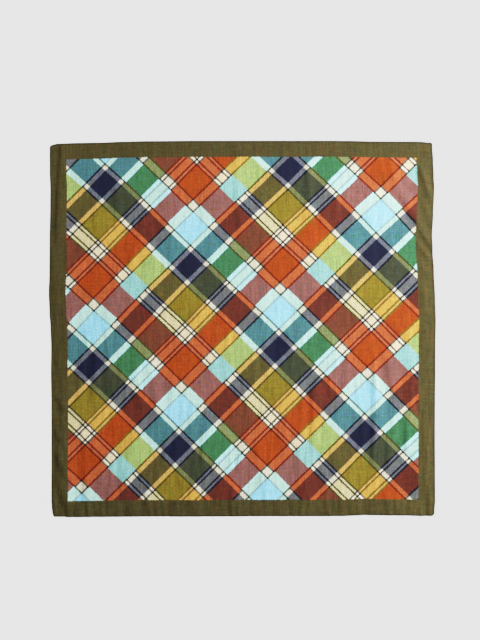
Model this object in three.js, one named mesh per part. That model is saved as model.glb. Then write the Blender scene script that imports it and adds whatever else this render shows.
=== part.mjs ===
import * as THREE from "three";

// A cotton bandana, opened out and lying face up: one nearly square printed cloth with a narrow hem.
// Millimetres. Looking down on it, +X is right and +Y is up. +Z points away from the surface it lies on.

const WIDTH = 540; // across, from hem edge to hem edge, pulled straight
const HEIGHT = 527; // up and down, from hem edge to hem edge, pulled straight
const CLOTH = 1.1; // thickness of the single cloth as it lies, with its slack
const HEM = { width: 4.5, step: 1.6, thickness: 2.0 }; // the turned edge, and the step down beside it
const ROLL = { width: 1.1, drop: 0.65, under: 0.35 }; // the hem's rounded outer edge
const BORDER = 22.5; // width of the plain printed border
const CELLS = { across: 8.2, up: 16 }; // spacing of the surface's lines inside the border
const NARROWEST = 6; // the least reach of a fold's slope that the surface's lines can show
const FADE = 0.25; // the share of a fold's length over which it rises at either end
const SLIP = 3.0; // how far the middle has slid towards +Y while the rim stayed
const SETTLED = 0.2; // a fold lower than this has settled flat on the surface

// Each side's bow. "at" is the place along the side, "out" is how far the hem lies outside its straight line.
const SIDES = {
  left: [
    { at: 251, out: 1.4 },
    { at: 223, out: 1.3 },
    { at: 202, out: 0.5 },
    { at: 181, out: 0.6 },
    { at: 124, out: 1.5 },
    { at: 82, out: 1.8 },
    { at: 54, out: 2.8 },
    { at: 26, out: 1.7 },
    { at: 5, out: 0.2 },
    { at: -23, out: -0.7 },
    { at: -59, out: -0.4 },
    { at: -101, out: -1.1 },
    { at: -240, out: -1.1 },
    { at: -250, out: -1.6 },
    { at: -257, out: -2.4 },
    { at: -262, out: -3.5 },
  ],
  right: [
    { at: 256, out: -3.6 },
    { at: 239, out: -2.4 },
    { at: 216, out: -1.6 },
    { at: 200, out: -0.8 },
    { at: 166, out: -2.2 },
    { at: 131, out: -3.9 },
    { at: 112, out: -3.2 },
    { at: 82, out: -1.4 },
    { at: 40, out: 0.4 },
    { at: 12, out: 1.4 },
    { at: -24, out: 0.7 },
    { at: -95, out: 0.4 },
    { at: -150, out: 0.1 },
    { at: -242, out: 0.4 },
    { at: -256, out: -0.6 },
  ],
  top: [
    { at: -270, out: -5.6 },
    { at: -258, out: -3.2 },
    { at: -228, out: -2.2 },
    { at: -200, out: -1.8 },
    { at: -165, out: -0.5 },
    { at: -130, out: 0.3 },
    { at: -60, out: 0.8 },
    { at: 123, out: 0.8 },
    { at: 151, out: 0.6 },
    { at: 187, out: -0.3 },
    { at: 236, out: -0.5 },
    { at: 252, out: -0.6 },
    { at: 266, out: -1.8 },
  ],
  bottom: [
    { at: -256, out: 0.8 },
    { at: -248, out: 1.4 },
    { at: -235, out: 1.3 },
    { at: -200, out: 1.0 },
    { at: -130, out: 0.4 },
    { at: -90, out: 0.6 },
    { at: 53, out: 0.0 },
    { at: 109, out: 0.1 },
    { at: 135, out: -0.2 },
    { at: 172, out: -1.5 },
    { at: 222, out: -1.0 },
    { at: 250, out: -0.4 },
  ],
};

// How far each corner of the hem is rounded off.
const CORNERS = [
  { sideX: -1, sideY: 1, radius: 3.5 },
  { sideX: 1, sideY: 1, radius: 2.5 },
  { sideX: -1, sideY: -1, radius: 2.5 },
  { sideX: 1, sideY: -1, radius: 5 },
];

// The folds: soft ridges, each from its upper end to its lower end, with the reach of its slopes to the west
// and to the east and its height.
const FOLDS = [
  { x0: 253, y0: 260, x1: 266, y1: 236, west: 4, east: 5, height: 0.9 }, // right border, top corner
  { x0: 247, y0: 238, x1: 270, y1: 166, west: 5, east: 4, height: 2.4 }, // right border, upper ridge
  { x0: 249, y0: 194, x1: 268, y1: 138, west: 4, east: 6, height: 0.9 }, // right border, beside that ridge
  { x0: 242, y0: 154, x1: 270, y1: 106, west: 3, east: 6, height: 2.5 }, // right border, over the deep crease
  { x0: 241, y0: 126, x1: 269, y1: 92, west: 5, east: 3, height: 1.6 }, // right border, under the deep crease
  { x0: 244, y0: 98, x1: 266, y1: 70, west: 4, east: 5, height: 0.8 }, // right border, lower again
  { x0: 253, y0: 68, x1: 256, y1: 12, west: 5, east: 5, height: 1.2 }, // right border, above its middle
  { x0: 258, y0: 10, x1: 258, y1: -36, west: 3, east: 4, height: 0.9 }, // right border, at its middle
  { x0: 245, y0: -66, x1: 250, y1: -124, west: 4, east: 5, height: 1.2 }, // right border, lower half, inner
  { x0: 255, y0: -108, x1: 258, y1: -242, west: 6, east: 6, height: 1.4 }, // right border, lower half, outer
  { x0: 260, y0: -226, x1: 255, y1: -262, west: 4, east: 6, height: 0.9 }, // right border, bottom corner
  { x0: -254, y0: 268, x1: -258, y1: 200, west: 3, east: 13, height: 2.0 }, // left border, long crease, upper
  { x0: -258, y0: 218, x1: -261, y1: 112, west: 3, east: 13, height: 2.0 }, // left border, long crease, lower
  { x0: -264, y0: -90, x1: -246, y1: -122, west: 4, east: 7, height: 1.5 }, // left border, lower half, first
  { x0: -265, y0: -138, x1: -248, y1: -170, west: 4, east: 7, height: 1.5 }, // left border, second ridge
  { x0: -265, y0: -164, x1: -245, y1: -216, west: 5, east: 9, height: 2.3 }, // left border, third ridge
  { x0: -264, y0: -198, x1: -241, y1: -262, west: 8, east: 12, height: 2.6 }, // left border, fourth ridge
  { x0: 202, y0: 250, x1: 222, y1: 180, west: 6, east: 7, height: 2.2 }, // field, slanting to the right border
  { x0: 219, y0: 198, x1: 250, y1: 142, west: 5, east: 7, height: 2.5 }, // the same, lower part
  { x0: 192, y0: 246, x1: 206, y1: 190, west: 4, east: 5, height: 1.1 }, // field, beside it
  { x0: 93, y0: 252, x1: 93, y1: 136, west: 6, east: 6, height: 1.9 }, // field, upper wrinkle
  { x0: 131, y0: 206, x1: 132, y1: 152, west: 4, east: 4, height: 0.9 }, // field, beside it
  { x0: -10, y0: 280, x1: -5, y1: 124, west: 6, east: 7, height: 1.2 }, // middle fold
  { x0: 99, y0: -70, x1: 99, y1: -184, west: 4.5, east: 7, height: 2.5 }, // field, long wrinkle
  { x0: 120, y0: -56, x1: 123, y1: -98, west: 3, east: 4, height: 1.4 }, // field, short wrinkle near it
  { x0: 186, y0: -50, x1: 186, y1: -140, west: 4.5, east: 11, height: 3.0 }, // field, longest wrinkle, upper
  { x0: 185, y0: -118, x1: 184, y1: -200, west: 4, east: 6, height: 2.2 }, // the same, lower part
  { x0: 170, y0: -112, x1: 170, y1: -182, west: 5, east: 3.5, height: 1.4 }, // field, beside it
  { x0: 207, y0: -40, x1: 208, y1: -96, west: 5, east: 9, height: 1.9 }, // field, near the right border
  { x0: 211, y0: -118, x1: 211, y1: -164, west: 2.8, east: 3.5, height: 1.1 }, // the same, narrower
  { x0: 231, y0: -116, x1: 231, y1: -182, west: 5, east: 7, height: 2.1 }, // field, beside the right border
  { x0: 204, y0: -150, x1: 206, y1: -204, west: 4, east: 6, height: 1.6 }, // field, lower right
  { x0: -207, y0: -24, x1: -207, y1: -86, west: 4, east: 6, height: 1.5 }, // field, left
  { x0: -224, y0: -18, x1: -224, y1: -70, west: 5, east: 4, height: 1.1 }, // field, beside the left border
  { x0: -177, y0: 208, x1: -177, y1: 160, west: 4, east: 8, height: 1.5 }, // field, upper left
  { x0: -140, y0: 168, x1: -150, y1: 106, west: 3, east: 6, height: 1.0 }, // field, curved wrinkle, upper
  { x0: -148, y0: 122, x1: -171, y1: 66, west: 3, east: 6, height: 1.0 }, // field, curved wrinkle, lower
  { x0: -243, y0: -162, x1: -243, y1: -214, west: 7, east: 6, height: 1.6 }, // field, low on the left
];

const ease = (t) => t * t * (3 - 2 * t);
const clamp = (t) => Math.min(1, Math.max(0, t));

// A side's "out" at a place along it, eased from one row of its table to the next.
function bow(side, place) {
  const rows = [...side].sort((a, b) => a.at - b.at);
  const next = rows.findIndex((row) => row.at > place);
  if (next === 0) return rows[0].out;
  if (next === -1) return rows[rows.length - 1].out;
  const from = rows[next - 1];
  const to = rows[next];
  return from.out + (to.out - from.out) * ease((place - from.at) / (to.at - from.at));
}

// Rounds a corner: a place in the corner's square moves in, onto a quarter disc of the corner's radius.
function rounded(u, v) {
  for (const { sideX, sideY, radius } of CORNERS) {
    const across = sideX * u - (WIDTH / 2 - radius);
    const up = sideY * v - (HEIGHT / 2 - radius);
    if (across <= 0 || up <= 0) continue;
    const pull = Math.max(across, up) / Math.hypot(across, up);
    return [
      sideX * (WIDTH / 2 - radius + across * pull),
      sideY * (HEIGHT / 2 - radius + up * pull),
    ];
  }
  return [u, v];
}

// Where a place on the pulled-straight cloth lies: between the bowed sides, slid a little in the middle.
function laid(u, v) {
  const across = u / WIDTH + 0.5;
  const up = v / HEIGHT + 0.5;
  const left = -WIDTH / 2 - bow(SIDES.left, v);
  const right = WIDTH / 2 + bow(SIDES.right, v);
  const bottom = -HEIGHT / 2 - bow(SIDES.bottom, u);
  const top = HEIGHT / 2 + bow(SIDES.top, u);
  const inside = 16 * across * (1 - across) * up * (1 - up);
  return [left + (right - left) * across, bottom + (top - bottom) * up + SLIP * inside];
}

// How far the folds lift the cloth off the surface at a place.
function lift(x, y) {
  let height = 0;
  for (const fold of FOLDS) {
    const runX = fold.x1 - fold.x0;
    const runY = fold.y1 - fold.y0;
    const length = Math.hypot(runX, runY);
    const along = ((x - fold.x0) * runX + (y - fold.y0) * runY) / length ** 2;
    const east = ((y - fold.y0) * runX - (x - fold.x0) * runY) / length;
    const reach = Math.max(NARROWEST, east > 0 ? fold.east : fold.west);
    const strength = ease(clamp(along / FADE)) * ease(clamp((1 - along) / FADE));
    height = Math.max(height, fold.height * strength * Math.exp(-((east / reach) ** 2)));
  }
  return Math.max(0, height - SETTLED);
}

// The cloth's thickness, and how far its underside is rounded up, at a distance in from the hem's edge.
function section(inward) {
  const roll = 1 - clamp(inward / ROLL.width);
  const hem = 1 - ease(clamp((inward - HEM.width) / HEM.step));
  const full = CLOTH + (HEM.thickness - CLOTH) * hem;
  return { under: ROLL.under * roll, over: full - ROLL.drop * roll };
}

// The surface's lines across one direction: close together at the hem and the border, then even.
function lines(size, cell) {
  const half = size / 2;
  const rim = [0, ROLL.width, HEM.width, HEM.width + HEM.step, (HEM.width + BORDER) / 2 + 1, BORDER];
  const field = half - BORDER;
  const steps = Math.round((2 * field) / cell);
  const even = Array.from({ length: steps - 1 }, (_, i) => -field + (2 * field * (i + 1)) / steps);
  return [...rim.map((r) => r - half), ...even, ...rim.map((r) => half - r).reverse()];
}

// The closed sheet: a grid of top points over a grid of bottom points, joined round the rim.
function clothGeometry() {
  const columns = lines(WIDTH, CELLS.across);
  const rows = lines(HEIGHT, CELLS.up);
  const tops = [];
  const bottoms = [];
  for (const v of rows) {
    for (const u of columns) {
      const [ru, rv] = rounded(u, v);
      const [x, y] = laid(ru, rv);
      const { under, over } = section(Math.min(WIDTH / 2 - Math.abs(u), HEIGHT / 2 - Math.abs(v)));
      const floor = lift(x, y);
      tops.push(x, y, floor + over);
      bottoms.push(x, y, floor + under);
    }
  }
  const across = columns.length;
  const down = rows.length;
  const under = across * down;
  const index = [];
  const quad = (a, b, c, d) => index.push(a, b, c, a, c, d);
  for (let j = 0; j < down - 1; j++) {
    for (let i = 0; i < across - 1; i++) {
      const a = j * across + i;
      quad(a, a + 1, a + 1 + across, a + across);
      quad(under + a, under + a + across, under + a + 1 + across, under + a + 1);
    }
  }
  const rim = [];
  for (let i = 0; i < across - 1; i++) rim.push(i);
  for (let j = 0; j < down - 1; j++) rim.push(j * across + across - 1);
  for (let i = across - 1; i > 0; i--) rim.push((down - 1) * across + i);
  for (let j = down - 1; j > 0; j--) rim.push(j * across);
  rim.forEach((a, n) => {
    const b = rim[(n + 1) % rim.length];
    quad(a, under + a, under + b, b);
  });
  const geometry = new THREE.BufferGeometry();
  geometry.setAttribute("position", new THREE.Float32BufferAttribute([...tops, ...bottoms], 3));
  geometry.setIndex(index);
  geometry.computeVertexNormals();
  return geometry;
}

// The printed cotton, matte, in the plaid's middling colour.
const printedCotton = new THREE.MeshStandardMaterial({ color: 0xa08a62, roughness: 0.92, metalness: 0 });

const cloth = new THREE.Mesh(clothGeometry(), printedCotton);
cloth.name = "cloth";

// The origin is under the middle of the cloth's outline, on the surface.
cloth.geometry.computeBoundingBox();
const middle = cloth.geometry.boundingBox.getCenter(new THREE.Vector3());
cloth.geometry.translate(-middle.x, -middle.y, 0);

const bandana = new THREE.Group();
bandana.add(cloth);

export default bandana;
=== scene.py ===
import math

import bpy
import numpy as np
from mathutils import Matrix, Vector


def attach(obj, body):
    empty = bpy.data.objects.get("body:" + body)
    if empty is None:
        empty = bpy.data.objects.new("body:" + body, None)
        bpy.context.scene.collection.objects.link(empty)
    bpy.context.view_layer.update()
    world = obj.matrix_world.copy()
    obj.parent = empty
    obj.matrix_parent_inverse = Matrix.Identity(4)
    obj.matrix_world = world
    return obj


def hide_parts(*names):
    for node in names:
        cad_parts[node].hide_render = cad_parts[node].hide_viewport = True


# A cotton bandana, opened out and lying face up. The cloth's own sizes and tables are in millimetres, as in
# the part's source, and what stands in the frame is in metres. +X is right and +Y is up as the printed face
# is looked down on, and +Z points away from the surface.

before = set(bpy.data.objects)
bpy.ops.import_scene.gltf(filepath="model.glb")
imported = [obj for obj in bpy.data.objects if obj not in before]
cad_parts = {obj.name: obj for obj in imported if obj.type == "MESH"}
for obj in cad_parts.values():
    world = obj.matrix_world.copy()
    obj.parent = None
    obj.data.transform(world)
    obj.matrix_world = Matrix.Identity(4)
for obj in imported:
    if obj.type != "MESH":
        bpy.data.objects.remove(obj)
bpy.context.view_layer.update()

MM = 0.001
WIDTH = 540.0  # across, from hem edge to hem edge, pulled straight
HEIGHT = 527.0  # up and down, from hem edge to hem edge, pulled straight
BORDER = {"sides": 23.4, "ends": 22.9}  # widths of the plain printed border
SLIP = 3.0  # how far the middle has slid towards +Y while the rim stayed
HELD = 0.25  # the share of the middle's slide below which the rim holds the drifts back too
SETTLED = 0.2  # a fold much lower than this lies flat on the surface

SHEET = 0.45  # thickness of the single cloth
# The hem is three layers of cloth, and it lifts the single cloth beside it over the run_out.
HEM = {"width": 4.4, "thickness": 1.05, "run_out": 30.0}
# Each stitch rises over the cloth in the middle and dips into it at its ends, where the thread is thinner.
STITCH = {"inset": 3.7, "step": 2.7, "length": 2.0, "radius": 0.14, "thinner": 0.25, "rise": 0.12, "dip": 0.1}
STITCH_FREE = 5  # the least that a row of stitches leaves free, at its two ends together
# The row of stitches pulls a groove into the hem, and part of its depth shows underneath.
GROOVE = {"depth": 0.10, "half_width": 0.55, "share_under": 0.5}

CELL = {"across": 2.5, "up": 3.4}  # spacing of the sheet's lines inside the border
# The sheet's lines near its edge, as distances from it: close at the hem's turn, stitches and inner edge.
EDGE_LINES = [0, 0.05, 0.16, 0.34, 0.63, 1.2, 2.0, 2.8, 3.3, 3.7, 4.1, 4.4, 4.45, 5.2, 6.4, 8, 9.8, 11.8, 14,
              16.3, 18.7, 21]
OUTLINE_POINTS = 2001  # places along each side where the outline is measured

SEED = 11  # for the waves


def rows(names, *lines):
    """A table: one dict for each line, with the named columns."""
    return [dict(zip(names.split(), line)) for line in lines]


# Each side's bow: the place along the side, and how far the hem lies outside its straight line there.
SIDES = {
    "left": rows("at out", (251, 1.4), (223, 1.3), (202, 0.5), (181, 0.6), (124, 1.5), (82, 1.8), (54, 2.8),
                 (26, 1.7), (5, 0.2), (-23, -0.7), (-59, -0.4), (-101, -1.1), (-240, -1.1), (-250, -1.6),
                 (-257, -2.4), (-262, -3.5)),
    "right": rows("at out", (256, -3.6), (239, -2.4), (216, -1.6), (200, -0.8), (166, -2.2), (131, -3.9),
                  (112, -3.2), (82, -1.4), (40, 0.4), (12, 1.4), (-24, 0.7), (-95, 0.4), (-150, 0.1),
                  (-242, 0.4), (-256, -0.6)),
    "top": rows("at out", (-270, -5.6), (-258, -3.2), (-228, -2.2), (-200, -1.8), (-165, -0.5), (-130, 0.3),
                (-60, 0.8), (123, 0.8), (151, 0.6), (187, -0.3), (236, -0.5), (252, -0.6), (266, -1.8)),
    "bottom": rows("at out", (-256, 0.8), (-248, 1.4), (-235, 1.3), (-200, 1.0), (-130, 0.4), (-90, 0.6),
                   (53, 0), (109, 0.1), (135, -0.2), (172, -1.5), (222, -1.0), (250, -0.4)),
}

# How far each corner of the hem is rounded off.
CORNERS = rows("side_x side_y radius", (-1, 1, 3.5), (1, 1, 2.5), (-1, -1, 2.5), (1, -1, 5.0))

# Where the cloth inside the rim has drifted a little: how far each drift reaches and how much it moves.
DRIFTS = rows(
    "x y reach right up",
    (-30, 200, 75, -1.6, -0.5),  # middle of the upper part
    (215, 200, 60, 1.4, 0.9),  # at the upper right
    (-215, 100, 60, 1.0, 0.8),  # at the upper left
    (110, 80, 60, 0.7, -0.1),  # above the middle
)

# The folds that the solid has too: soft ridges, each from its upper end to its lower end, with the reach of
# its slopes to the west and to the east and its height.
FOLDS = rows(
    "x0 y0 x1 y1 west east height",
    (253, 260, 266, 236, 4, 5, 0.9),  # right border, top corner
    (247, 238, 270, 166, 5, 4, 2.4),  # right border, upper ridge
    (249, 194, 268, 138, 4, 6, 0.9),  # right border, beside that ridge
    (242, 154, 270, 106, 3, 6, 2.5),  # right border, over the deep crease
    (241, 126, 269, 92, 5, 3, 1.6),  # right border, under the deep crease
    (244, 98, 266, 70, 4, 5, 0.8),  # right border, lower again
    (253, 68, 256, 12, 5, 5, 1.2),  # right border, above its middle
    (258, 10, 258, -36, 3, 4, 0.9),  # right border, at its middle
    (245, -66, 250, -124, 4, 5, 1.2),  # right border, lower half, inner
    (255, -108, 258, -242, 6, 6, 1.4),  # right border, lower half, outer
    (260, -226, 255, -262, 4, 6, 0.9),  # right border, bottom corner
    (-254, 268, -258, 200, 3, 13, 2.0),  # left border, long crease, upper
    (-258, 218, -261, 112, 3, 13, 2.0),  # left border, long crease, lower
    (-264, -90, -246, -122, 4, 7, 1.5),  # left border, lower half, first
    (-265, -138, -248, -170, 4, 7, 1.5),  # left border, second ridge
    (-265, -164, -245, -216, 5, 9, 2.3),  # left border, third ridge
    (-264, -198, -241, -262, 8, 12, 2.6),  # left border, fourth ridge
    (202, 250, 222, 180, 6, 7, 2.2),  # field, slanting to the right border
    (219, 198, 250, 142, 5, 7, 2.5),  # the same, lower part
    (192, 246, 206, 190, 4, 5, 1.1),  # field, beside it
    (93, 252, 93, 136, 6, 6, 1.9),  # field, upper wrinkle
    (131, 206, 132, 152, 4, 4, 0.9),  # field, beside it
    (-10, 280, -5, 124, 6, 7, 1.2),  # middle fold
    (99, -70, 99, -184, 4.5, 7, 2.5),  # field, long wrinkle
    (120, -56, 123, -98, 3, 4, 1.4),  # field, short wrinkle near it
    (186, -50, 186, -140, 4.5, 11, 3.0),  # field, longest wrinkle, upper
    (185, -118, 184, -200, 4, 6, 2.2),  # the same, lower part
    (170, -112, 170, -182, 5, 3.5, 1.4),  # field, beside it
    (207, -40, 208, -96, 5, 9, 1.9),  # field, near the right border
    (211, -118, 211, -164, 2.8, 3.5, 1.1),  # the same, narrower
    (231, -116, 231, -182, 5, 7, 2.1),  # field, beside the right border
    (204, -150, 206, -204, 4, 6, 1.6),  # field, lower right
    (-207, -24, -207, -86, 4, 6, 1.5),  # field, left
    (-224, -18, -224, -70, 5, 4, 1.1),  # field, beside the left border
    (-177, 208, -177, 160, 4, 8, 1.5),  # field, upper left
    (-140, 168, -150, 106, 3, 6, 1.0),  # field, curved wrinkle, upper
    (-148, 122, -171, 66, 3, 6, 1.0),  # field, curved wrinkle, lower
    (-243, -162, -243, -214, 7, 6, 1.6),  # field, low on the left
)
FADE = 0.25  # the share of a fold's length over which it rises at either end

# Waves too low for the solid: the cloth's slight unevenness, mostly in upright ripples. Each row has a number
# of waves, their shortest and longest length, their lean, their height, and what that height is multiplied by
# on the bottom border.
WAVES = rows(
    "count shortest longest lean height bottom",
    (22, 8.5, 16, 0.10, 0.05, 1.7),  # upright ripples, close together
    (16, 16, 34, 0.16, 0.10, 1.6),  # broader ones
    (10, 34, 70, 0.35, 0.15, 1.2),  # broader still
    (8, 80, 200, 1.5, 0.20, 0.5),  # the slow rise and fall of the whole cloth
)
# The bottom border's height of wave starts this far above the border and is reached over this distance.
BOTTOM = {"above": 10, "over": 15}
# Each wave fades in and out along its length, in swells between these lengths, and starts within this phase.
SWELL = {"shortest": 90, "longest": 260, "phase": 6}
# How strong the waves are at the cloth's corners.
UNEVEN = {"upper_left": 0.3, "upper_right": 0.5, "lower_left": 1.6, "lower_right": 1.55}
RESTING = 0.7  # how far waves at full strength hold the cloth off the surface


def ease(t):
    """A smooth rise from 0 to 1, and flat beyond."""
    t = np.clip(t, 0, 1)
    return t * t * (3 - 2 * t)


def bow(side, place):
    """A side's "out" at places along it, eased from one row of its table to the next."""
    table = sorted(SIDES[side], key=lambda row: row["at"])
    at = np.array([row["at"] for row in table], float)
    out = np.array([row["out"] for row in table], float)
    place = np.clip(place, at[0], at[-1])
    after = np.clip(np.searchsorted(at, place, side="right"), 1, len(at) - 1)
    t = ease((place - at[after - 1]) / (at[after] - at[after - 1]))
    return out[after - 1] + (out[after] - out[after - 1]) * t


def rounded(u, v):
    """Moves places in a corner's square in, onto a quarter disc of the corner's radius."""
    u, v = u.copy(), v.copy()
    for corner in CORNERS:
        across = corner["side_x"] * u - (WIDTH / 2 - corner["radius"])
        up = corner["side_y"] * v - (HEIGHT / 2 - corner["radius"])
        inside = (across > 0) & (up > 0)
        pull = np.maximum(across, up)[inside] / np.hypot(across, up)[inside]
        u[inside] = corner["side_x"] * (WIDTH / 2 - corner["radius"] + across[inside] * pull)
        v[inside] = corner["side_y"] * (HEIGHT / 2 - corner["radius"] + up[inside] * pull)
    return u, v


def laid(u, v):
    """Where places on the pulled-straight cloth lie: between the bowed sides, slid and drifted inside."""
    u, v = rounded(u, v)
    across, up = u / WIDTH + 0.5, v / HEIGHT + 0.5
    left = -WIDTH / 2 - bow("left", v)
    right = WIDTH / 2 + bow("right", v)
    bottom = -HEIGHT / 2 - bow("bottom", u)
    top = HEIGHT / 2 + bow("top", u)
    inside = 16 * across * (1 - across) * up * (1 - up)  # 1 in the middle and 0 at the rim
    x = left + (right - left) * across
    y = bottom + (top - bottom) * up + SLIP * inside
    free = np.clip(inside / HELD, 0, 1)
    for drift in DRIFTS:
        share = free * np.exp(-((u - drift["x"]) ** 2 + (v - drift["y"]) ** 2) / drift["reach"] ** 2)
        x = x + drift["right"] * share
        y = y + drift["up"] * share
    return x, y


def cloth_middle():
    """The middle of the laid cloth's outline, which is the frame's origin."""
    along = np.linspace(-1, 1, OUTLINE_POINTS)
    ends = np.ones_like(along)
    u = np.concatenate([along, along, -ends, ends]) * WIDTH / 2
    v = np.concatenate([-ends, ends, along, along]) * HEIGHT / 2
    x, y = laid(u, v)
    return (x.min() + x.max()) / 2, (y.min() + y.max()) / 2


MIDDLE = cloth_middle()


def fold_height(x, y):
    """The summed height of the folds at places."""
    height = np.zeros_like(x)
    for fold in FOLDS:
        run_x, run_y = fold["x1"] - fold["x0"], fold["y1"] - fold["y0"]
        length = math.hypot(run_x, run_y)
        along = ((x - fold["x0"]) * run_x + (y - fold["y0"]) * run_y) / length ** 2
        east = ((y - fold["y0"]) * run_x - (x - fold["x0"]) * run_y) / length
        reach = np.where(east > 0, fold["east"], fold["west"])
        strength = ease(along / FADE) * ease((1 - along) / FADE)
        height += fold["height"] * strength * np.exp(-((east / reach) ** 2))
    return height


def waves(x, y):
    """The low unevenness before its strength, as a sum of waves of seeded length, lean and phase."""
    chance = np.random.default_rng(SEED)
    height = np.zeros_like(x)
    low = ease((BORDER["ends"] + BOTTOM["above"] - HEIGHT / 2 - y) / BOTTOM["over"])
    for group in WAVES:
        strength = group["height"] * (1 + (group["bottom"] - 1) * low)
        for _ in range(group["count"]):
            length = chance.uniform(group["shortest"], group["longest"])
            lean = chance.normal(0, group["lean"])
            phase = chance.uniform(0, 2 * math.pi)
            turn = (x * math.cos(lean) + y * math.sin(lean)) * 2 * math.pi / length + phase
            swell_length = chance.uniform(SWELL["shortest"], SWELL["longest"])
            swell_phase = chance.uniform(0, SWELL["phase"])
            swell = 0.5 + 0.5 * np.sin(y * 2 * math.pi / swell_length + swell_phase)
            height += strength * np.sin(turn) * swell
    return height


def unevenness(x, y):
    """How strong the waves are at places, from corner to corner."""
    across, up = np.clip(x / WIDTH + 0.5, 0, 1), np.clip(y / HEIGHT + 0.5, 0, 1)
    upper = UNEVEN["upper_left"] + (UNEVEN["upper_right"] - UNEVEN["upper_left"]) * across
    lower = UNEVEN["lower_left"] + (UNEVEN["lower_right"] - UNEVEN["lower_left"]) * across
    return lower + (upper - lower) * up


def lift(x, y):
    """How far the underside is off the surface."""
    high = fold_height(x, y)
    settled = high * high / (high + SETTLED)
    return settled + unevenness(x, y) * np.maximum(waves(x, y) + RESTING, 0)


def section(inset):
    """How far the underside and the top are above the lift, at a distance in from the hem's edge."""
    radius = HEM["thickness"] / 2
    rise = 1 - ease((inset - HEM["width"]) / HEM["run_out"])
    over = SHEET + (HEM["thickness"] - SHEET) * rise
    under = np.where(inset < HEM["width"], 0.0, over - SHEET)
    groove = GROOVE["depth"] * np.exp(-(((inset - STITCH["inset"]) / GROOVE["half_width"]) ** 2))
    over = over - groove
    under = under + GROOVE["share_under"] * groove
    turn = np.clip(inset / radius, 0, 1)
    half = np.sqrt(np.clip(1 - (1 - turn) ** 2, 0, 1))
    over = np.where(inset < radius, radius + (over - radius) * half, over)
    under = np.where(inset < radius, radius + (under - radius) * half, under)
    return under, over


def lines(size, cell, border):
    """The sheet's lines across one direction: the edge lines, one at the border's end, then even ones."""
    rim = EDGE_LINES + [border]
    half = size / 2
    field = half - border
    steps = round(2 * field / cell)
    even = [-field + 2 * field * i / steps for i in range(1, steps)]
    return np.array([r - half for r in rim] + even + [half - r for r in reversed(rim)])


def new_mesh(name, points, faces, materials, face_material=None, smooth=True):
    """A mesh object in the scene. face_material has the number of each face's material."""
    mesh = bpy.data.meshes.new(name)
    mesh.from_pydata(points.tolist(), [], faces.tolist())
    for material in materials:
        mesh.materials.append(material)
    if face_material is not None:
        mesh.polygons.foreach_set("material_index", face_material.astype(np.int32))
    mesh.polygons.foreach_set("use_smooth", np.full(len(faces), smooth))
    mesh.update()
    obj = bpy.data.objects.new(name, mesh)
    bpy.context.scene.collection.objects.link(obj)
    return obj


# The camera's tone: how a light value in the scene shows in the picture, and the way back

# The power makes dark values show darker, and the knee sets where the bright ones level off.
TONE = {"power": 1.2, "knee": 0.12}
TONE_PARTS = 16  # straight parts of the curve that is set in the scene
MID_LIGHT = 0.43  # light on the middle of the cloth, as the value that a white surface would send back
VEIL = 0.008  # what the cloth's faint gloss adds to every colour
DARKEST = 0.002  # no dye is darker than this


def shown(value):
    """How light a value in the scene shows."""
    bent = value ** TONE["power"]
    return (1 + TONE["knee"]) * bent / (bent + TONE["knee"])


def value_for(show):
    """The value in the scene that shows this light."""
    part = show / (1 + TONE["knee"])
    return (TONE["knee"] * part / (1 - part)) ** (1 / TONE["power"])


# Materials: node helpers

def linear(code):
    """A hex colour's red, green and blue as linear shares, by the screen standard's curve."""
    parts = [int(code[i:i + 2], 16) / 255 for i in (0, 2, 4)]
    return [c / 12.92 if c <= 0.04045 else ((c + 0.055) / 1.055) ** 2.4 for c in parts]


def dye(code):
    """The surface colour that shows as a hex colour in the middle of the cloth."""
    return [max(value_for(c) / MID_LIGHT - VEIL, DARKEST) for c in linear(code)] + [1.0]


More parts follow.
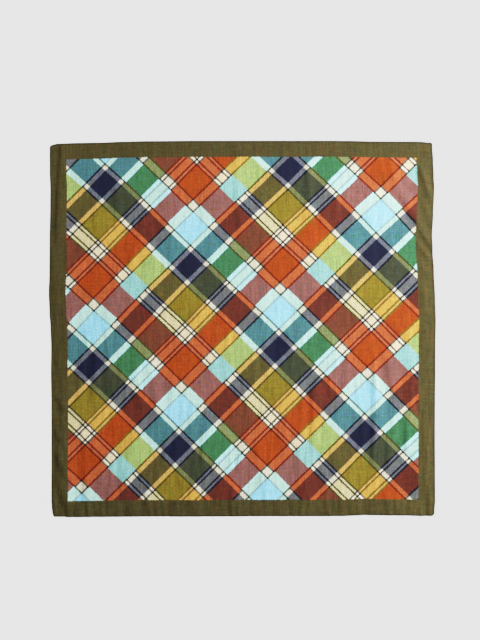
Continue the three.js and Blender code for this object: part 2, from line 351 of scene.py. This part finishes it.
class Nodes:
    """Builds one material's nodes. Each method that adds a node returns its output."""

    def __init__(self, name):
        self.material = bpy.data.materials.new(name)
        self.material.use_nodes = True
        self.tree = self.material.node_tree
        self.tree.nodes.clear()

    def add(self, kind, **settings):
        """The one method that returns the node itself."""
        node = self.tree.nodes.new(kind)
        for key, value in settings.items():
            setattr(node, key, value)
        return node

    def feed(self, socket, value):
        if isinstance(value, bpy.types.NodeSocket):
            self.tree.links.new(value, socket)
        elif value is not None:
            socket.default_value = value

    def maths(self, operation, a, b=None, c=None):
        node = self.add("ShaderNodeMath", operation=operation)
        for socket, value in zip(node.inputs, (a, b, c)):
            self.feed(socket, value)
        return node.outputs[0]

    def mix(self, share, a, b, blend="MIX"):
        """A mix of two colours. This node has its colours at the places 6 and 7."""
        node = self.add("ShaderNodeMix", data_type="RGBA", blend_type=blend)
        self.feed(node.inputs[0], share)
        self.feed(node.inputs[6], a)
        self.feed(node.inputs[7], b)
        return node.outputs[2]

    def spread(self, value, low, high, to_low, to_high):
        """The value moved from one range to another, and held at the range's ends."""
        node = self.add("ShaderNodeMapRange")
        for socket, x in zip(node.inputs, (value, low, high, to_low, to_high)):
            self.feed(socket, x)
        return node.outputs[0]

    def noise(self, vector, scale, detail=2.0, roughness=0.5, dimensions="3D"):
        node = self.add("ShaderNodeTexNoise", noise_dimensions=dimensions)
        self.feed(node.inputs["Vector"], vector)
        self.feed(node.inputs["Scale"], scale)
        self.feed(node.inputs["Detail"], detail)
        self.feed(node.inputs["Roughness"], roughness)
        return node.outputs[0]

    def vector(self, x, y, z=0.0):
        node = self.add("ShaderNodeCombineXYZ")
        for socket, value in zip(node.inputs, (x, y, z)):
            self.feed(socket, value)
        return node.outputs[0]

    def steps(self, value, stops):
        """A colour ramp of flat steps: stops are (start, colour)."""
        node = self.add("ShaderNodeValToRGB")
        ramp = node.color_ramp
        ramp.interpolation = "CONSTANT"
        while len(ramp.elements) > 1:
            ramp.elements.remove(ramp.elements[-1])
        ramp.elements[0].position = 0.0
        ramp.elements[0].color = stops[0][1]
        for start, colour in stops[1:]:
            ramp.elements.new(start).color = colour
        self.feed(node.inputs[0], value)
        return node.outputs[0]


# The print

# The inks as they show in the middle of the cloth, each named for how it looks.
INKS = {
    "cream": "EAE2CB",
    "chalk": "E5E3D4",
    "white": "EDEADB",
    "graphite": "706D64",
    "navy": "272941",
    "midnight": "1E202C",
    "slate": "7B7F82",
    "lilac": "797E8A",
    "sky": "B4E3EF",
    "ice": "CDEBEC",
    "mint": "CEE7E1",
    "mist": "AACACC",
    "aqua": "AAD8D5",
    "teal": "598F96",
    "harbour": "6C8C88",
    "red": "BF5323",
    "orange": "CE7143",
    "coral": "CB7650",
    "oxblood": "822D14",
    "maroon": "77392E",
    "mauve": "A16D66",
    "rust": "874C37",
    "yellow": "DDBB5F",
    "maize": "D9BD70",
    "bronze": "8C6E2A",
    "bistre": "685716",
    "umber": "6A6036",
    "lime": "B5CA82",
    "olive": "9D8932",
    "green": "4E8B5D",
    "bottle": "50522A",
    "moss": "4A503C",
    "sage": "94A06A",
    "fern": "878D5B",
    "straw": "E0D9B6",
    "border": "5A5130",
}

# Widths in millimetres of the stripes that rise to the right, in order down the cloth's left side.
RISING = rows(
    "band width",
    ("wide", 9.7), ("inner", 2.6), ("thin", 2.6), ("outer", 2.6), ("red", 29.2), ("outer", 2.6),
    ("cream", 10.4), ("inner", 2.6), ("sky", 28.9), ("bold", 2.6), ("narrow", 5.7), ("navy", 24.3),
    ("narrow", 5.7), ("rim", 2.6), ("green", 29.8), ("outer", 2.6), ("thin", 2.4), ("inner", 2.6),
)
# Widths of the stripes that fall to the right, in order up the cloth's left side.
FALLING = rows(
    "band width",
    ("wide", 10.0), ("edge", 2.5), ("thin", 2.7), ("edge", 2.5), ("gold", 37.2), ("line", 2.5),
    ("narrow", 5.5), ("navy", 31.7), ("narrow", 5.3), ("rule", 2.5), ("sky", 34.2), ("hair", 2.5),
    ("cream", 9.9), ("line", 2.5), ("red", 36.9), ("edge", 2.5), ("thin", 2.9), ("edge", 2.5),
)
# The ink where each broad falling band, named on the left, crosses each broad rising band.
BANDS = rows(
    "falling wide cream narrow thin red sky navy green",
    ("wide", "cream", "cream", "chalk", "white", "orange", "aqua", "slate", "straw"),
    ("cream", "chalk", "chalk", "chalk", "white", "orange", "mint", "slate", "sage"),
    ("narrow", "chalk", "chalk", "chalk", "white", "orange", "mint", "lilac", "fern"),
    ("thin", "white", "white", "white", "white", "coral", "aqua", "lilac", "straw"),
    ("gold", "yellow", "yellow", "maize", "maize", "red", "lime", "umber", "olive"),
    ("navy", "slate", "slate", "lilac", "lilac", "maroon", "teal", "navy", "moss"),
    ("sky", "mint", "mint", "mint", "ice", "mauve", "sky", "teal", "green"),
    ("red", "orange", "orange", "orange", "coral", "red", "mauve", "maroon", "rust"),
)
# The ink of each thin line, named on the left, where it crosses a pale stripe or a coloured band.
LINES = rows(
    "line pale gold red sky navy green",
    ("inner", "graphite", "bronze", "oxblood", "mist", "midnight", "bottle"),
    ("outer", "graphite", "bronze", "oxblood", "ice", "midnight", "bottle"),
    ("bold", "graphite", "bistre", "oxblood", "mist", "midnight", "bottle"),
    ("rim", "graphite", "bistre", "oxblood", "ice", "midnight", "bottle"),
    ("edge", "graphite", "bronze", "oxblood", "aqua", "midnight", "bottle"),
    ("line", "graphite", "bronze", "oxblood", "mint", "midnight", "bottle"),
    ("rule", "graphite", "bronze", "oxblood", "harbour", "midnight", "bottle"),
    ("hair", "graphite", "bronze", "oxblood", "mist", "midnight", "bottle"),
)
LINE_ON_LINE = "midnight"

# One repeat of the plaid, in millimetres: the way from a rising stripe to the next, and from a falling one.
REPEAT = {"down_right": (121.1, -118.2), "up_right": (140.7, 137.2)}
# Where the middles of two wide stripes cross, from the cloth's middle.
CROSSING = {"x": -202.7, "y": 108.8}

# How far the ink may creep along a thread, and how fast that changes along it and from thread to thread.
CREEP = {"reach": 4.0, "along": 0.25, "across": 2.8}


def ink_name(falling, rising):
    """The ink where a falling stripe crosses a rising one."""
    lines_by_name = {row["line"]: row for row in LINES}
    bands_by_name = {row["falling"]: row for row in BANDS}
    if falling in lines_by_name and rising in lines_by_name:
        return LINE_ON_LINE
    if falling in lines_by_name:
        return lines_by_name[falling].get(rising, lines_by_name[falling]["pale"])
    if rising in lines_by_name:
        return lines_by_name[rising].get(falling, lines_by_name[rising]["pale"])
    return bands_by_name[falling][rising]


def across_repeat():
    """The rows that turn millimetres from the crossing into shares of the two repeats."""
    (ax, ay), (bx, by) = REPEAT["down_right"], REPEAT["up_right"]
    area = ax * by - ay * bx
    return (by / area, -bx / area), (-ay / area, ax / area)


def band_number(n, weights, u, v, stripes, kinds):
    """The number, in a list of kinds, of the stripe at a place."""
    whole = sum(stripe["width"] for stripe in stripes)
    by_u = n.maths("MULTIPLY", n.maths("SUBTRACT", u, CROSSING["x"]), weights[0])
    shares = n.maths("MULTIPLY_ADD", n.maths("SUBTRACT", v, CROSSING["y"]), weights[1], by_u)
    shares = n.maths("FRACT", n.maths("ADD", shares, stripes[0]["width"] / 2 / whole))
    number = kinds.index(stripes[0]["band"])
    start = 0.0
    for before, stripe in zip(stripes, stripes[1:]):
        start += before["width"] / whole
        change = kinds.index(stripe["band"]) - kinds.index(before["band"])
        number = n.maths("MULTIPLY_ADD", n.maths("GREATER_THAN", shares, start), change, number)
    return number


def plaid(n, u, v):
    """The plaid's colour at a place on the cloth, in millimetres from its middle."""
    rising, falling = across_repeat()
    rising_kinds = sorted({stripe["band"] for stripe in RISING})
    falling_kinds = sorted({stripe["band"] for stripe in FALLING})
    down = band_number(n, rising, u, v, RISING, rising_kinds)
    up = band_number(n, falling, u, v, FALLING, falling_kinds)
    count = len(rising_kinds)
    place = n.maths("DIVIDE", n.maths("ADD", down, 0.5), count)
    colour = None
    for number, crossed in enumerate(falling_kinds):
        inks = [dye(INKS[ink_name(crossed, kind)]) for kind in rising_kinds]
        strip = n.steps(place, [(k / count, ink) for k, ink in enumerate(inks)])
        if colour is None:
            colour = strip
        else:
            colour = n.mix(n.maths("COMPARE", up, number, 0.5), colour, strip)
    return colour


# The cloth's grain, as layers of noise: features to the millimetre across and up, and how much they change
# the light on pale inks and on deep ones.
GRAIN = rows(
    "across up pale deep",
    (0.62, 0.03, 0.50, 0.60),  # upright slubs
    (0.04, 0.62, 0.18, 0.36),  # level slubs
    (0.62, 0.40, 0.60, 0.60),  # short stretches of both threads
    (0.20, 0.14, 0.06, 0.32),  # small blotches
    (0.03, 0.03, 0.12, 0.12),  # broad patches
)
# Painted light on the border: lighter towards the right, on the lamp's side, and lighter or darker at some
# places: which way it gets lighter, between which distances from the middle, and by how much.
PAINTED_BORDER_LIGHT = rows(
    "right up start end share",
    (1, 0, 0, 200, 0.05),  # the right half
    (1, 0, 215, 245, 0.12),  # the right border
    (1, -0.35, 150, 320, 0.12),  # towards the bottom right corner
    (1, 1, 440, 520, -0.14),  # darker at the top right corner
    (-1, 0, 215, 245, 0.06),  # the left border
    (0, 1, 215, 245, 0.05),  # the top border
)
# The unevenness of a deep ink's hue, as more layers of noise: how much each colour goes up where it is high.
TINTS = rows(
    "across up red green blue",
    (0.30, 0.05, 0.22, -0.12, -0.06),
    (0.16, 0.16, 0.06, 0.04, -0.38),
)
SPECKLE = {"detail": 2.0, "roughness": 0.55}  # of the grain's and the tints' noise
# Where layers of noise are cut: the second creep, one step for each grain or tint, and the first tint.
LAYER = {"creep": 9.0, "step": 3.0, "tint": 40.0}
# Painted shade on the hem's outer fold, partly a darker worn fold: between which distances from the edge, and
# what share of the light is left on it at the left and at the right side, deeper on the right, turned away
# from the lamp.
PAINTED_RIM_SHADE = {"from": 0.2, "to": 3.0, "left": 0.52, "right": 0.26}
# The unseen back shows this share of the bare cotton.
REVERSE = {"share": 0.42, "cotton": "DCD8CA"}
# The weave's pitch, and how high its threads and its slubs stand in the bump.
WEAVE = {"pitch": 0.36, "thread": 0.5, "slub": 1.2}
# The surfaces: how rough, how glossy, and the bump's strength and its height in metres.
COTTON = {"smoothest": 0.78, "roughest": 0.9, "gloss": 0.2, "bump": 0.35, "relief": 0.0001}
THREAD = {"rough": 0.7, "gloss": 0.3, "bump": 0.4, "relief": 0.00005, "dark": "4A4226", "light": "6E6440"}
TWIST = {"scale": 2500.0, "detail": 2.0}  # of the thread's noise, by the metre


def speckle(n, u, v, row, layer):
    """Noise with a row's features to the millimetre across and up."""
    across = n.maths("MULTIPLY", u, row["across"])
    up = n.maths("MULTIPLY", v, row["up"])
    return n.noise(n.vector(across, up, layer), 1.0, **SPECKLE)


def printed(n, paleness):
    """The printed cloth's colour, with painted light on the border and painted shade on the hem's outer fold,
    the place on the cloth in millimetres, and the slubs.
    """
    uv = n.add("ShaderNodeUVMap", uv_map="cut")
    split = n.add("ShaderNodeSeparateXYZ")
    n.feed(split.inputs[0], uv.outputs[0])
    u = n.maths("MULTIPLY", n.maths("SUBTRACT", split.outputs[0], 0.5), WIDTH)
    v = n.maths("MULTIPLY", n.maths("SUBTRACT", split.outputs[1], 0.5), HEIGHT)

    # The ink creeps a little along the threads.
    slow_u = n.maths("MULTIPLY", u, CREEP["along"])
    fast_u = n.maths("MULTIPLY", u, CREEP["across"])
    slow_v = n.maths("MULTIPLY", v, CREEP["along"])
    fast_v = n.maths("MULTIPLY", v, CREEP["across"])
    creep_u = n.noise(n.vector(slow_u, fast_v), 1.0, 1.0)
    creep_v = n.noise(n.vector(fast_u, slow_v, LAYER["creep"]), 1.0, 1.0)
    ink_u = n.maths("MULTIPLY_ADD", n.maths("SUBTRACT", creep_u, 0.5), CREEP["reach"], u)
    ink_v = n.maths("MULTIPLY_ADD", n.maths("SUBTRACT", creep_v, 0.5), CREEP["reach"], v)
    field = plaid(n, ink_u, ink_v)

    # The border is a plain frame along the hem.
    side = n.maths("SUBTRACT", WIDTH / 2 - BORDER["sides"], n.maths("ABSOLUTE", ink_u))
    end = n.maths("SUBTRACT", HEIGHT / 2 - BORDER["ends"], n.maths("ABSOLUTE", ink_v))
    on_border = n.maths("LESS_THAN", n.maths("MINIMUM", side, end), 0.0)
    # Painted light: the border is lighter towards the right, on the lamp's side, and lighter or darker at
    # some places.
    painted_border_light = 1.0
    for row in PAINTED_BORDER_LIGHT:
        way = n.maths("ADD", n.maths("MULTIPLY", u, row["right"]), n.maths("MULTIPLY", v, row["up"]))
        painted_border_light = n.maths("MULTIPLY", painted_border_light, n.spread(way, row["start"], row["end"], 1.0, 1 + row["share"]))
    border = n.mix(1.0, dye(INKS["border"]), n.vector(painted_border_light, painted_border_light, painted_border_light), "MULTIPLY")
    colour = n.mix(on_border, field, border)

    # The threads are uneven in thickness, in how much ink they took and in hue.
    grey = n.add("ShaderNodeRGBToBW")
    n.feed(grey.inputs[0], colour)
    deep = n.maths("SUBTRACT", 1.0, grey.outputs[0])
    inset = n.maths("MINIMUM", n.maths("SUBTRACT", WIDTH / 2, n.maths("ABSOLUTE", u)),
                    n.maths("SUBTRACT", HEIGHT / 2, n.maths("ABSOLUTE", v)))
    # Painted shade on the hem's outer fold, partly a darker worn fold, deeper on the right side.
    rim_painted_shade = n.spread(u, -WIDTH / 2, WIDTH / 2, PAINTED_RIM_SHADE["left"], PAINTED_RIM_SHADE["right"])
    light = n.spread(inset, PAINTED_RIM_SHADE["from"], PAINTED_RIM_SHADE["to"], rim_painted_shade, 1.0)
    slub = None
    for order, grain in enumerate(GRAIN):
        pattern = speckle(n, u, v, grain, LAYER["step"] * order)
        slub = slub or pattern
        strength = n.maths("MULTIPLY_ADD", deep, grain["deep"] - grain["pale"], grain["pale"])
        change = n.maths("MULTIPLY_ADD", n.spread(pattern, 0, 1, -1, 1), strength, 1.0)
        light = n.maths("MULTIPLY", light, change)
    colour = n.mix(1.0, colour, n.vector(light, light, light), "MULTIPLY")
    for order, tint in enumerate(TINTS):
        pattern = speckle(n, u, v, tint, LAYER["tint"] + LAYER["step"] * order)
        change = [tint["red"], tint["green"], tint["blue"]]
        least = [1 - c for c in change] + [1]
        most = [1 + c for c in change] + [1]
        hue = n.mix(n.spread(pattern, 0.2, 0.8, 0, 1), least, most)
        colour = n.mix(deep, colour, hue, "MULTIPLY")
    if paleness:
        colour = n.mix(paleness, colour, dye(REVERSE["cotton"]))
    return colour, u, v, slub


def weave_height(n, u, v, slub):
    """Plain weave, with warp and weft on top in turn and a thread every half pitch, and its slubs."""
    warp = n.maths("SINE", n.maths("MULTIPLY", u, 2 * math.pi / WEAVE["pitch"]))
    weft = n.maths("SINE", n.maths("MULTIPLY", v, 2 * math.pi / WEAVE["pitch"]))
    thread = n.maths("MULTIPLY_ADD", n.maths("MULTIPLY", warp, weft), 0.5, 0.5)
    return n.maths("MULTIPLY_ADD", slub, WEAVE["slub"], n.maths("MULTIPLY", thread, WEAVE["thread"]))


def surfaced(n, look, colour, roughness, height):
    """Ends a material's nodes with one surface, whose bump follows a height."""
    bump = n.add("ShaderNodeBump")
    n.feed(bump.inputs["Strength"], look["bump"])
    n.feed(bump.inputs["Distance"], look["relief"])
    n.feed(bump.inputs["Height"], height)
    surface = n.add("ShaderNodeBsdfPrincipled")
    n.feed(surface.inputs["Base Color"], colour)
    n.feed(surface.inputs["Roughness"], roughness)
    n.feed(surface.inputs["Specular IOR Level"], look["gloss"])
    n.feed(surface.inputs["Normal"], bump.outputs[0])
    out = n.add("ShaderNodeOutputMaterial")
    n.feed(out.inputs[0], surface.outputs[0])
    return n.material


def cotton(name, paleness):
    n = Nodes(name)
    colour, u, v, slub = printed(n, paleness)
    roughness = n.spread(slub, 0.3, 0.7, COTTON["smoothest"], COTTON["roughest"])
    return surfaced(n, COTTON, colour, roughness, weave_height(n, u, v, slub))


def sewing_thread():
    n = Nodes("hem_thread")
    place = n.add("ShaderNodeTexCoord").outputs["Object"]
    twist = n.noise(place, TWIST["scale"], TWIST["detail"])
    colour = n.mix(twist, dye(THREAD["dark"]), dye(THREAD["light"]))
    return surfaced(n, THREAD, colour, THREAD["rough"], twist)


# The cloth

def placed(u, v, height):
    """Points in the frame, in metres, from places on the pulled-straight cloth and heights in millimetres."""
    x, y = laid(u, v)
    return np.stack([(x - MIDDLE[0]) * MM, (y - MIDDLE[1]) * MM, height * MM], -1)


def surface_height(u, v, top=True):
    """The height of the top or of the underside at places on the pulled-straight cloth."""
    x, y = laid(u, v)
    inset = np.minimum(WIDTH / 2 - np.abs(u), HEIGHT / 2 - np.abs(v))
    under, over = section(inset)
    return lift(x, y) + (over if top else under)


def make_sheet():
    """The cloth as one closed sheet, with the print on top and the paler reverse below."""
    columns = lines(WIDTH, CELL["across"], BORDER["sides"])
    levels = lines(HEIGHT, CELL["up"], BORDER["ends"])
    across, up = len(columns), len(levels)
    u, v = np.meshgrid(columns, levels)
    top = placed(u, v, surface_height(u, v)).reshape(-1, 3)
    bottom = placed(u, v, surface_height(u, v, top=False)).reshape(-1, 3)

    # Top and underside share the rim's points.
    number = np.arange(across * up).reshape(up, across)
    rim = np.zeros((up, across), bool)
    rim[[0, -1], :] = True
    rim[:, [0, -1]] = True
    inner = ~rim.ravel()
    below = number.ravel().copy()
    below[inner] = across * up + np.arange(inner.sum())
    below = below.reshape(up, across)
    points = np.concatenate([top, bottom[inner]])

    def quads(ids, flip):
        corners = [ids[:-1, :-1], ids[:-1, 1:], ids[1:, 1:], ids[1:, :-1]]
        if flip:
            corners.reverse()
        return np.stack([c.ravel() for c in corners], 1)

    faces = np.concatenate([quads(number, False), quads(below, True)])

    # The hem turns the printed face under, so the reverse starts at the hem's inner edge.
    middle_u, middle_v = np.meshgrid((columns[1:] + columns[:-1]) / 2, (levels[1:] + levels[:-1]) / 2)
    inset = np.minimum(WIDTH / 2 - np.abs(middle_u), HEIGHT / 2 - np.abs(middle_v))
    reverse = (inset > HEM["width"]).ravel()
    face_material = np.concatenate([np.zeros(reverse.size), reverse])

    materials = [cotton("printed_face", 0.0), cotton("reverse", REVERSE["share"])]
    sheet = new_mesh("bandana_cloth", points, faces, materials, face_material)
    layer = sheet.data.uv_layers.new(name="cut")
    cut = np.stack([u.ravel() / WIDTH + 0.5, v.ravel() / HEIGHT + 0.5], 1)
    cut = np.concatenate([cut, cut[inner]])
    corner = np.zeros(len(sheet.data.loops), np.int32)
    sheet.data.loops.foreach_get("vertex_index", corner)
    layer.data.foreach_set("uv", cut[corner].astype(np.float32).ravel())
    return sheet


def make_stitches():
    """The hem's row of straight stitches, each a short arc of thread that dips into the cloth at its ends."""
    inset, step, length = STITCH["inset"], STITCH["step"], STITCH["length"]
    half_u, half_v = WIDTH / 2 - inset, HEIGHT / 2 - inset
    # Each side's row: where it starts, which way it goes and how long it is.
    runs = [(-half_u, -half_v, 1, 0, 2 * half_u), (half_u, -half_v, 0, 1, 2 * half_v),
            (half_u, half_v, -1, 0, 2 * half_u), (-half_u, half_v, 0, -1, 2 * half_v)]
    rings, sides = 5, 6  # of each stitch's tube
    points, faces = [], []
    for u0, v0, du, dv, run in runs:
        aside = np.array([-dv, du, 0.0])
        upward = np.array([0.0, 0.0, 1.0])
        count = int((run - STITCH_FREE) / step)
        first = (run - count * step) / 2 + (step - length) / 2
        for k in range(count):
            place = first + k * step + np.linspace(0, length, rings)
            turn = np.linspace(0, math.pi, rings)
            u, v = u0 + du * place, v0 + dv * place
            height = surface_height(u, v) + STITCH["rise"] * np.sin(turn) - STITCH["dip"]
            line = placed(u, v, height)
            start = len(points)
            radius = STITCH["radius"] * MM * (1 - STITCH["thinner"] * (1 - np.sin(turn)))
            for centre, r in zip(line, radius):
                for j in range(sides):
                    a = 2 * math.pi * j / sides
                    points.append(centre + r * (math.cos(a) * aside + math.sin(a) * upward))
            for i in range(rings - 1):
                for j in range(sides):
                    a = start + i * sides + j
                    b = start + i * sides + (j + 1) % sides
                    faces.append([a, b, b + sides, a + sides])
            # The ends close with two quads each.
            last = start + (rings - 1) * sides
            faces += [[start + 3, start + 2, start + 1, start], [start, start + 5, start + 4, start + 3]]
            faces += [[last, last + 1, last + 2, last + 3], [last + 3, last + 4, last + 5, last]]
    return new_mesh("hem_stitches", np.array(points), np.array(faces), [sewing_thread()])


sheet = make_sheet()
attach(sheet, "root")
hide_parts("cloth")

stitches = make_stitches()
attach(stitches, "root")

# The stage

# The floor lies just under the cloth. Its colour is a grey, and its light is set so that it shows this light.
FLOOR = {"side": 40.0, "drop": 0.0002, "grey": 0.8, "shows": 0.799}


def make_floor():
    half = FLOOR["side"] / 2
    points = np.array([[-half, -half, 0], [half, -half, 0], [half, half, 0], [-half, half, 0]], float)
    points[:, 2] = -FLOOR["drop"]
    n = Nodes("pale_floor")
    surface = n.add("ShaderNodeBsdfDiffuse")
    n.feed(surface.inputs["Color"], (FLOOR["grey"], FLOOR["grey"], FLOOR["grey"], 1))
    out = n.add("ShaderNodeOutputMaterial")
    n.feed(out.inputs[0], surface.outputs[0])
    return new_mesh("floor", points, np.array([[0, 1, 2, 3]]), [n.material], smooth=False)


floor = make_floor()

# Camera and light

# The photograph's frame is 480 by 640 pixels, and a pixel is 1.407 mm on the cloth.
PIXEL = 1.407 * MM
FRAME_PX = (480, 640)
CLOTH_CENTRE_PX = (242.25, 329.0)  # from the frame's left and from its top
CAMERA_HEIGHT = 2.4
SENSOR = 36.0  # the camera's usual full frame, in millimetres
CLIP = (0.01, 50)  # nearest and farthest distance that the camera sees

AMBIENT = 0.10  # light from all around
# The lamp on the right, which lights the cloth unevenly as in the photograph.
KEY = {"place": (0.953, 0.452, 0.80), "size": 0.6, "power": 9.6}
OVERHEAD_SPREAD = 30  # degrees, for the floor's own light


def make_camera():
    data = bpy.data.cameras.new("camera")
    data.sensor_fit = "VERTICAL"
    data.sensor_height = SENSOR
    data.lens = SENSOR * CAMERA_HEIGHT / (FRAME_PX[1] * PIXEL)
    data.clip_start = CLIP[0]
    data.clip_end = CLIP[1]
    camera = bpy.data.objects.new("camera", data)
    camera.location = ((FRAME_PX[0] / 2 - CLOTH_CENTRE_PX[0]) * PIXEL,
                       (CLOTH_CENTRE_PX[1] - FRAME_PX[1] / 2) * PIXEL, CAMERA_HEIGHT)
    bpy.context.scene.collection.objects.link(camera)
    bpy.context.scene.camera = camera


def make_key():
    """The lamp, aimed at the middle of the cloth."""
    data = bpy.data.lights.new("key", "AREA")
    data.shape = "SQUARE"
    data.size = KEY["size"]
    data.energy = KEY["power"]
    key = bpy.data.objects.new("key", data)
    key.location = KEY["place"]
    way = [-share for share in KEY["place"]]
    key.rotation_euler = Vector(way).to_track_quat("-Z", "Y").to_euler()
    key.visible_camera = False
    bpy.context.scene.collection.objects.link(key)
    return key


def only_on(light, *objects):
    """Limits a light to some objects."""
    lit = bpy.data.collections.new(light.name + "_receivers")
    for o in objects:
        lit.objects.link(o)
    light.light_linking.receiver_collection = lit


def make_lights():
    world = bpy.data.worlds.new("studio")
    bpy.context.scene.world = world
    world.use_nodes = True
    sky = world.node_tree.nodes["Background"]
    sky.inputs[0].default_value = (1, 1, 1, 1)
    sky.inputs[1].default_value = AMBIENT

    only_on(make_key(), sheet, stitches)

    # The floor has its own light, which adds to the light from all around what the floor shows beyond it.
    sun = bpy.data.lights.new("overhead", "SUN")
    sun.energy = math.pi * (value_for(FLOOR["shows"]) / FLOOR["grey"] - AMBIENT)
    sun.angle = math.radians(OVERHEAD_SPREAD)
    overhead = bpy.data.objects.new("overhead", sun)
    bpy.context.scene.collection.objects.link(overhead)
    only_on(overhead, floor)


def set_tone():
    """Gives the picture the camera's tone, by the curve for all three colours, which is the fourth."""
    view = bpy.context.scene.view_settings
    view.view_transform = "Standard"
    view.use_curve_mapping = True
    points = view.curve_mapping.curves[3].points
    points[0].location = (0, 0)
    points[1].location = (1, shown(1))
    for i in range(1, TONE_PARTS):
        place = (i / TONE_PARTS) ** 2
        points.new(place, shown(place))
    view.curve_mapping.update()


make_camera()
make_lights()
set_tone()
